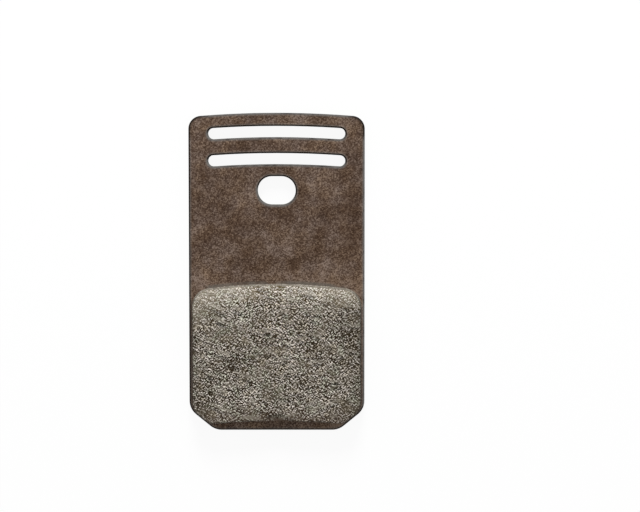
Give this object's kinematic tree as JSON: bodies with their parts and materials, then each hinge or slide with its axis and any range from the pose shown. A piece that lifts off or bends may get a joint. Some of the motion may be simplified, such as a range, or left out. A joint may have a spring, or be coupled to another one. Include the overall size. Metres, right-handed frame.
{
  "type": "bicycle disc brake pad",
  "caption": "Flat disc brake pad: a steel backing plate with a crowned, slotted tab and an obround pin hole, carrying a rounded block of granular friction compound.",
  "frame": {"origin": "middle of the back face: centre of the plate's width and length, on the surface that the pad lies on", "axes": "+X across the pad, +Y along the plate towards the slotted tab, +Z out of the friction face"},
  "size_m": [0.026, 0.047, 0.0042],
  "materials": {
    "coated_steel": "mottled brown scorched coat on the friction side, yellow powder coat on the back",
    "friction_compound": "coarse granular grey-brown moulded compound, dry and matte"
  },
  "bodies": {
    "root": {"backing_plate": "coated_steel", "friction_block": "friction_compound"}
  },
  "joints": []
}
